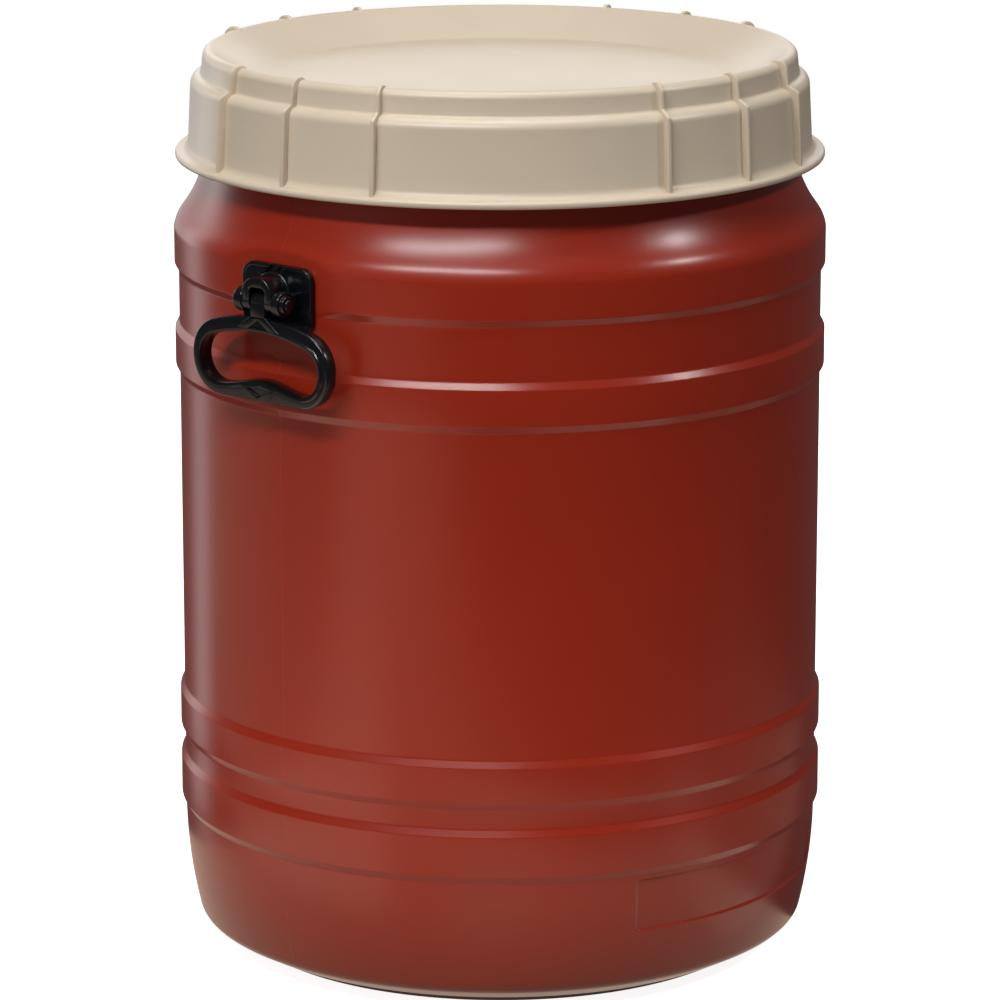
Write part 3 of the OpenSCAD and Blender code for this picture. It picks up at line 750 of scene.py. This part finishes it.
def bracket(s, place):
    """The plate with its rim, the hood with its slot, the bosses and their webs."""
    bm = bmesh.new()
    back = -s.flat_out
    floor = back + s.plate_t
    rim = floor + s.plate_rim_h
    soft = s.edge_round
    half_w = s.plate_w / 2
    half_h = s.plate_h / 2
    hood = s.hood_w / 2
    slot = s.slot_w / 2
    slab(bm, frame_outline(s.plate_w, s.plate_h, s.plate_corner), back, floor, soft, place)
    # The rim is open at the notch above the hood
    inner_w = half_w - s.plate_rim_w
    inner_h = half_h - s.plate_rim_w
    inner_corner = s.plate_corner - s.plate_rim_w
    notch = s.notch_w / 2
    rim_line = mirrored([
        (notch, half_h), (half_w, half_h, s.plate_corner), (half_w, -half_h, s.plate_corner)])
    rim_line += mirrored([
        (-notch, inner_h), (-inner_w, inner_h, inner_corner), (-inner_w, -inner_h, inner_corner)])
    slab(bm, soften(rim_line, True, PLATE_STEPS), back + soft, rim, soft * 0.8, place)
    # One side of the plate is filled up to the rim, with a slanted end above the hood
    flush = rim - soft / 4
    fill_side = -hood - 1 * MM
    fill_top = s.hood_top - 2 * MM
    fill = [(-inner_w - soft, inner_h, soft), (-notch - soft, inner_h, soft), (fill_side, fill_top, soft),
            (fill_side, -inner_h, soft), (-inner_w - soft, -inner_h, soft)]
    slab(bm, soften(fill, True), floor - soft, flush, soft * 0.7, place)
    # A short tongue stands in the notch
    tongue = frame_outline(s.plate_rim_w * 1.2, s.plate_rim_w, soft / 2)
    tongue = [(p.x, p.y + inner_h + s.plate_rim_w / 3) for p in tongue]
    slab(bm, tongue, back + soft, rim - soft, soft / 2, place)
    # The hood's foot, flared, and its front with the slot
    flare = hood + s.hood_flare
    flare_top = s.hood_top + s.hood_flare
    flare_corner = s.hood_corner + s.hood_flare
    foot = mirrored([(flare, -s.hood_bottom), (flare, flare_top, flare_corner)])
    slab(bm, soften(foot, True, HOOD_STEPS), back + soft, -s.slot_back, soft * 1.8, place, steps=4)
    front = mirrored([(hood, 0), (hood, s.hood_top, s.hood_corner)])
    front += mirrored([(-slot, 0), (-slot, s.slot_top, s.slot_corner)])
    slab(bm, soften(front, True, HOOD_STEPS), -s.slot_back - 2 * soft, s.hood_front, soft, place)
    # Each cheek ends round below the hinge and carries a boss with a collar, on webs from the plate
    boss_end = hood + s.boss_l
    collar_end = boss_end + s.collar_l
    web = mirrored([(boss_end, -s.collar_r), (boss_end, s.collar_r)])
    slab(bm, web, back + soft, -s.slot_back, soft, place)
    boss = soften([
        (PIN_R, slot), (s.hood_front, slot, soft), (s.hood_front, hood, soft / 4), (s.boss_r, hood, soft),
        (s.boss_r, boss_end, soft), (s.collar_r, boss_end, soft / 2), (s.collar_r, collar_end, soft),
        (PIN_R, collar_end), (PIN_R, slot)])
    for way in (1, -1):
        post(bm, [(p.x, p.y * way) for p in boss], place)
        side_web = [(way * (slot + soft), -s.collar_r), (way * boss_end, -s.collar_r),
                    (way * boss_end, s.collar_r), (way * (slot + soft), s.collar_r)]
        slab(bm, side_web, -s.slot_back - soft, -PIN_R - soft, soft, place)
    return bm


class DRUM_OT_brackets(bpy.types.Operator):
    """Builds the hooded hinge brackets and their pins"""
    bl_idname = "drum.brackets"
    bl_label = "Brackets"

    def execute(self, context):
        s = context.scene.drum_handle_sizes
        end = PIN_HIGH.y
        bevel = s.edge_round
        line = soften([(0, -end), (PIN_R, -end, bevel), (PIN_R, end, bevel), (0, end)])
        for name, side in SIDES.items():
            place = at_hinge(side)
            keep("bracket_" + name + "_moulding", bracket(s, place), "black_polypropylene", "drum",
                 "handle_plastic", "bracket_" + name)
            pin = bmesh.new()
            post(pin, line, place, steps=48)
            keep("hinge_pin_" + name + "_turned", pin, "black_polypropylene", "drum", "pin_plastic",
                 "hinge_pin_" + name)
        return {"FINISHED"}


def loop_line(width, height, corner, arch, arch_z):
    """Closed outline of a frame with round corners and an arched top, about its middle."""
    # A corner larger than the root of r * r + b * r + c would run into the arch
    b = 4 * arch - 2 * height - width
    c = (arch - height) ** 2 + (width / 2) ** 2 - arch ** 2
    corner = min(corner, (sqrt(b * b - 4 * c) - b) / 2)
    side = width / 2 - corner
    low = corner - height / 2
    radius = arch - corner
    shoulder = arch_z + sqrt(radius ** 2 - side ** 2)
    steps = 120
    line = []
    for i in range(steps):
        turn = FULL_TURN * (i + 0.5) / steps
        way = Vector((cos(turn), sin(turn)))
        # The corner that lies furthest this way, or the arch where that lies between the sides
        core = Vector((copysign(side, way.x), shoulder if way.y > 0 else low))
        if way.y > 0 and abs(way.x) * radius < side:
            core = Vector((0, arch_z)) + way * radius
        line.append(core + way * corner)
    return line


def even(line, count):
    """The closed line again, with points at equal distances."""
    ends = list(zip(line, line[1:] + line[:1]))
    lengths = [(q - p).length for p, q in ends]
    step = sum(lengths) / count
    points = []
    walked = 0.0
    for (p, q), run in zip(ends, lengths):
        while len(points) < count and len(points) * step <= walked + run:
            points.append(p.lerp(q, (len(points) * step - walked) / run))
        walked += run
    return points


def palm(s, across):
    """Height of the palm swell at a distance from its middle."""
    return s.swell * (1 - smooth_step(2 * abs(across) / s.swell_w))


def swollen(line, s):
    """The hand opening's outline with the palm swell in its lower side."""
    return [p + Vector((0, palm(s, p.x) * (p.y < 0))) for p in line]


def set_in(line, distance):
    """The closed line moved inwards by a distance."""
    count = len(line)
    moved = []
    for i, p in enumerate(line):
        along = (line[(i + 1) % count] - line[i - 1]).normalized()
        moved.append(p + Vector((-along.y, along.x)) * distance)
    return moved


def grip_loop(bm, s, place):
    """The loop: a bar with round edges and a raised lip round the hand opening, front and back."""
    count = 176
    centre = -s.grip_top - s.grip_h / 2
    arch_z = s.grip_h / 2 - s.grip_arch
    hand_h = s.grip_h - s.upper_bar - s.lower_bar
    hand_z = (s.lower_bar - s.upper_bar) / 2
    hand = loop_line(s.grip_w - 2 * s.end_bar, hand_h, s.grip_corner - s.end_bar, s.grip_arch - s.upper_bar,
                     arch_z - hand_z)
    rim = even(loop_line(s.grip_w, s.grip_h, s.grip_corner, s.grip_arch, arch_z), count)
    opening = swollen(even(hand, count), s)
    opening = [p + Vector((0, hand_z)) for p in opening]
    face = s.grip_t / 2
    band = face - s.lip_h
    soft = s.edge_round
    # Half of the bar's section: the outline it follows, how far inside that, and how far out of the middle
    front = [
        (rim, 0, band - 2 * soft), (rim, 0.3 * soft, band - soft), (rim, soft, band - 0.3 * soft),
        (rim, 2 * soft, band), (opening, -s.lip_w - soft / 2, band),
        (opening, -s.lip_w, band + s.lip_h / 3), (opening, -s.lip_w + soft / 2, face - soft / 8),
        (opening, -1.4 * soft, face), (opening, -soft / 2, face - soft / 3),
        (opening, 0, face - 1.5 * soft),
    ]
    section = front + [(line, distance, -out) for line, distance, out in reversed(front)]
    rings = [[(out, p.x, p.y + centre) for p in set_in(line, distance)] for line, distance, out in section]
    part = bmesh.new()
    verts = [part.verts.new(p) for p in rings[0]]
    edges = [part.edges.new((verts[i - 1], verts[i])) for i in range(count)]
    for ring, following in zip(rings, rings[1:] + rings[:1]):
        # An extruded vertex starts at a vertex of its ring, and goes to the same one of the next ring
        numbers = {Vector(p).to_tuple(6): i for i, p in enumerate(ring)}
        drawn = bmesh.ops.extrude_edge_only(part, edges=edges)["geom"]
        edges = [e for e in drawn if isinstance(e, bmesh.types.BMEdge)]
        for v in drawn:
            if isinstance(v, bmesh.types.BMVert):
                v.co = following[numbers[v.co.to_tuple(6)]]
    add_part(bm, part, place)


def grip(s, place):
    """The loop, its stem with the gusset and knuckle, and the boss on the palm swell."""
    bm = bmesh.new()
    grip_loop(bm, s, place)
    face = s.grip_t / 2
    soft = s.edge_round
    stem = s.stem_w / 2
    hand_top = s.grip_top + s.upper_bar
    lip = hand_top - s.lip_w / 2
    shank = mirrored([(stem, -s.grip_top - soft), (stem, 0)])
    slab(bm, shank, -face, face, soft * 0.7, place)
    knuckle = [(PIN_R, -stem), (s.knuckle_r, -stem, soft / 2), (s.knuckle_r, stem, soft / 2),
               (PIN_R, stem), (PIN_R, -stem)]
    post(bm, soften(knuckle), place)
    # Two legs spread from the stem to the lip, with a triangular hollow between them
    half_gusset = s.gusset_w / 2
    half_hollow = s.hollow_w / 2
    legs = [(-stem, -s.grip_top + soft), (stem, -s.grip_top + soft), (half_gusset, -lip),
            (half_hollow, -lip), (0, -s.grip_top - s.web / 2), (-half_hollow, -lip), (-half_gusset, -lip)]
    slab(bm, legs, -face, face, soft * 0.5, place)
    # The boss on the palm swell narrows to the lower edge and holds a triangular hollow
    edge = s.lower_bar - s.grip_top - s.grip_h - s.lip_w / 2
    bottom = soft - s.grip_top - s.grip_h
    wide = s.palm_w / 2
    hollow = s.palm_hollow_w / 2
    for way in (1, -1):
        # The halves overlap a little in the middle
        seam = -way * soft / 10
        side = [(way * wide, edge + palm(s, wide)), (way * s.palm_foot_w / 2, bottom), (seam, bottom),
                (seam, bottom + s.web), (way * hollow, edge + palm(s, hollow) - s.web),
                (seam, edge + s.swell - s.web), (seam, edge + s.swell)]
        slab(bm, side, -face, face, soft * 0.4, place)
    return bm


class DRUM_OT_grips(bpy.types.Operator):
    """Builds the swing grips"""
    bl_idname = "drum.grips"
    bl_label = "Grips"

    def execute(self, context):
        s = context.scene.drum_handle_sizes
        for name, side in SIDES.items():
            keep("grip_" + name + "_moulding", grip(s, at_hinge(side)), "black_polypropylene",
                 name + "_grip", "handle_plastic", "grip_" + name)
        return {"FINISHED"}


class DRUM_OT_seal(bpy.types.Operator):
    """Gives the seal ring its rubber"""
    bl_idname = "drum.seal"
    bl_label = "Seal"

    def execute(self, context):
        seal = frame["nodes"]["lid_seal"]
        seal.data.materials.clear()
        seal.data.materials.append(bpy.data.materials["seal_rubber"])
        return {"FINISHED"}


# Studio

# Name, place from the drum's middle (right, to the camera, up), height of the aim above it, size and power
LIGHTS = (
    ("key", (-1.7, 1.3, 0.4), 0, (1.2, 1.6), 6),
    ("back_fill", (1.1, -2, 0.7), 0, (1.6, 1.6), 13),
    ("front", (-0.55, 1.4, 1.58), 0, (1.35, 0.17), 24),
    ("top", (0, 0.2, 1.9), 0, (1.1, 1.1), 16),
    ("top_right", (1.95, 0.57, 1.58), 0, (0.25, 0.25), 11.5),
    # Low behind the drum, where only the flat of the lid mirrors it
    ("lid_sheen", (0, -2.6, 0.9), 0.27, (2.0, 0.7), 6),
    ("left_edge", (-1.5, -1.3, 0.1), 0, (0.5, 1.8), 3.5),
    ("backdrop", (-1.5, -2.4, 0.5), 0, (2.4, 1.5), 9),
)
# These light the surfaces, but aren't mirrored in them
UNMIRRORED = ("key", "back_fill")
# Name, place on the floor (right, to the camera), size, power, and if it is mirrored or else only lights
FLOOR_LIGHTS = (
    ("floor_front", (-0.5, 0.75), (2.0, 0.8), 4, True),
    ("floor_left", (-1.05, 0.1), (0.9, 1.6), 2.6, True),
    ("floor_right", (0.6, 0.1), (0.6, 0.6), 0.35, True),
    ("bounce_left", (-0.36, 0.3), (0.3, 0.3), 0.45, False),
    ("bounce_front", (0, 0.47), (0.3, 0.3), 0.45, False),
    ("bounce_right", (0.33, 0.33), (0.3, 0.3), 0.35, False),
)
# Their height above the floor, and their warm tint
FLOOR_GAP = 5 * MM
FLOOR_TINT = "#ffe4cc"


def area_light(name, place, target, size, power, tint="#ffffff"):
    """A rectangular soft light that faces a point and stays out of the picture."""
    lamp = bpy.data.lights.new(name, "AREA")
    lamp.shape = "RECTANGLE"
    lamp.size, lamp.size_y = size
    lamp.energy = power
    lamp.color = linear(tint)
    light = bpy.data.objects.new(name, lamp)
    light.location = place
    light.rotation_euler = (target - place).to_track_quat("-Z", "Y").to_euler()
    light.visible_camera = False
    bpy.context.scene.collection.objects.link(light)
    return light


def studio_paper(name, bm, paper):
    """A sheet of the studio, which neither lights the object nor is mirrored in it."""
    sheet = new_object(name, bm, paper)
    sheet.visible_diffuse = False
    sheet.visible_glossy = False
    return sheet


class DRUM_OT_stage(bpy.types.Operator):
    """Sets up the floor, the light and the camera"""
    bl_idname = "drum.stage"
    bl_label = "Stage"

    def execute(self, context):
        s = context.scene.drum_studio
        to_camera = Vector((sin(s.azimuth), -cos(s.azimuth), 0))
        right = Vector((cos(s.azimuth), sin(s.azimuth), 0))
        up = Vector((0, 0, 1))
        middle = Vector((0, 0, RIM_Z / 2))

        lens = bpy.data.cameras.new("camera")
        lens.lens = s.lens
        lens.sensor_width = 36
        camera = bpy.data.objects.new("camera", lens)
        camera.location = to_camera * s.distance + up * s.height
        camera.rotation_euler = (pi / 2 - s.pitch, 0, s.azimuth)
        context.scene.collection.objects.link(camera)
        context.scene.camera = camera

        paper = bpy.data.materials.new("studio_paper")
        paper.use_nodes = True
        set_sockets(paper.node_tree.nodes["Principled BSDF"], {
            "Base Color": (*context.scene.drum_finishes.floor, 1), "Roughness": 0.9,
            "Emission Color": (1, 1, 1, 1), "Emission Strength": 0.9})
        ground = bmesh.new()
        bmesh.ops.create_grid(ground, x_segments=1, y_segments=1, size=15)
        studio_paper("floor", ground, paper)
        # The dome is only seen past the floor's horizon: the lights and the world shine through it
        sky = bmesh.new()
        bmesh.ops.create_icosphere(sky, subdivisions=4, radius=12)
        dome = studio_paper("dome", sky, paper)
        dome.visible_shadow = False
        dome.visible_transmission = False

        world = bpy.data.worlds.new("studio")
        world.use_nodes = True
        set_sockets(world.node_tree.nodes["Background"], {"Color": (1, 1, 1, 1), "Strength": 0.07})
        context.scene.world = world

        for name, (across, ahead, height), aim, size, power in LIGHTS:
            place = middle + right * across + to_camera * ahead + up * height
            light = area_light(name, place, middle + up * aim, size, power)
            light.visible_glossy = name not in UNMIRRORED
        for name, (across, ahead), size, power, shine in FLOOR_LIGHTS:
            place = right * across + to_camera * ahead + up * FLOOR_GAP
            light = area_light(name, place, place + up, size, power, FLOOR_TINT)
            light.visible_glossy = shine
            light.visible_diffuse = not shine
        context.scene.view_settings.view_transform = "Standard"
        return {"FINISHED"}


class DRUM_PT_panel(bpy.types.Panel):
    """Lists the drum's pieces in the sidebar"""
    bl_idname = "DRUM_PT_panel"
    bl_label = "Drum"
    bl_space_type = "VIEW_3D"
    bl_region_type = "UI"
    bl_category = "Drum"

    def draw(self, context):
        for operator in OPERATORS:
            self.layout.operator(operator.bl_idname)
        for name, group in GROUPS.items():
            box = self.layout.box()
            box.label(text=group.__doc__)
            for key in group.__annotations__:
                box.prop(getattr(context.scene, name), key)


OPERATORS = [
    DRUM_OT_materials,
    DRUM_OT_stage,
    DRUM_OT_body,
    DRUM_OT_lid,
    DRUM_OT_threads,
    DRUM_OT_brackets,
    DRUM_OT_grips,
    DRUM_OT_seal,
]


def register():
    """Registers the classes and puts the sizes on the scene."""
    for kind in [*GROUPS.values(), *OPERATORS, DRUM_PT_panel]:
        bpy.utils.register_class(kind)
    for name, group in GROUPS.items():
        setattr(bpy.types.Scene, name, PointerProperty(type=group))


def unregister():
    """Takes the sizes off the scene and unregisters the classes."""
    for name in GROUPS:
        delattr(bpy.types.Scene, name)
    for kind in [DRUM_PT_panel, *OPERATORS, *GROUPS.values()]:
        bpy.utils.unregister_class(kind)


def main():
    """Builds the drum and its studio."""
    register()
    bpy.ops.drum.materials()
    bpy.ops.drum.stage()
    bpy.ops.drum.body()
    bpy.ops.drum.lid()
    bpy.ops.drum.threads()
    bpy.ops.drum.brackets()
    bpy.ops.drum.grips()
    bpy.ops.drum.seal()


if __name__ == "__main__":
    main()
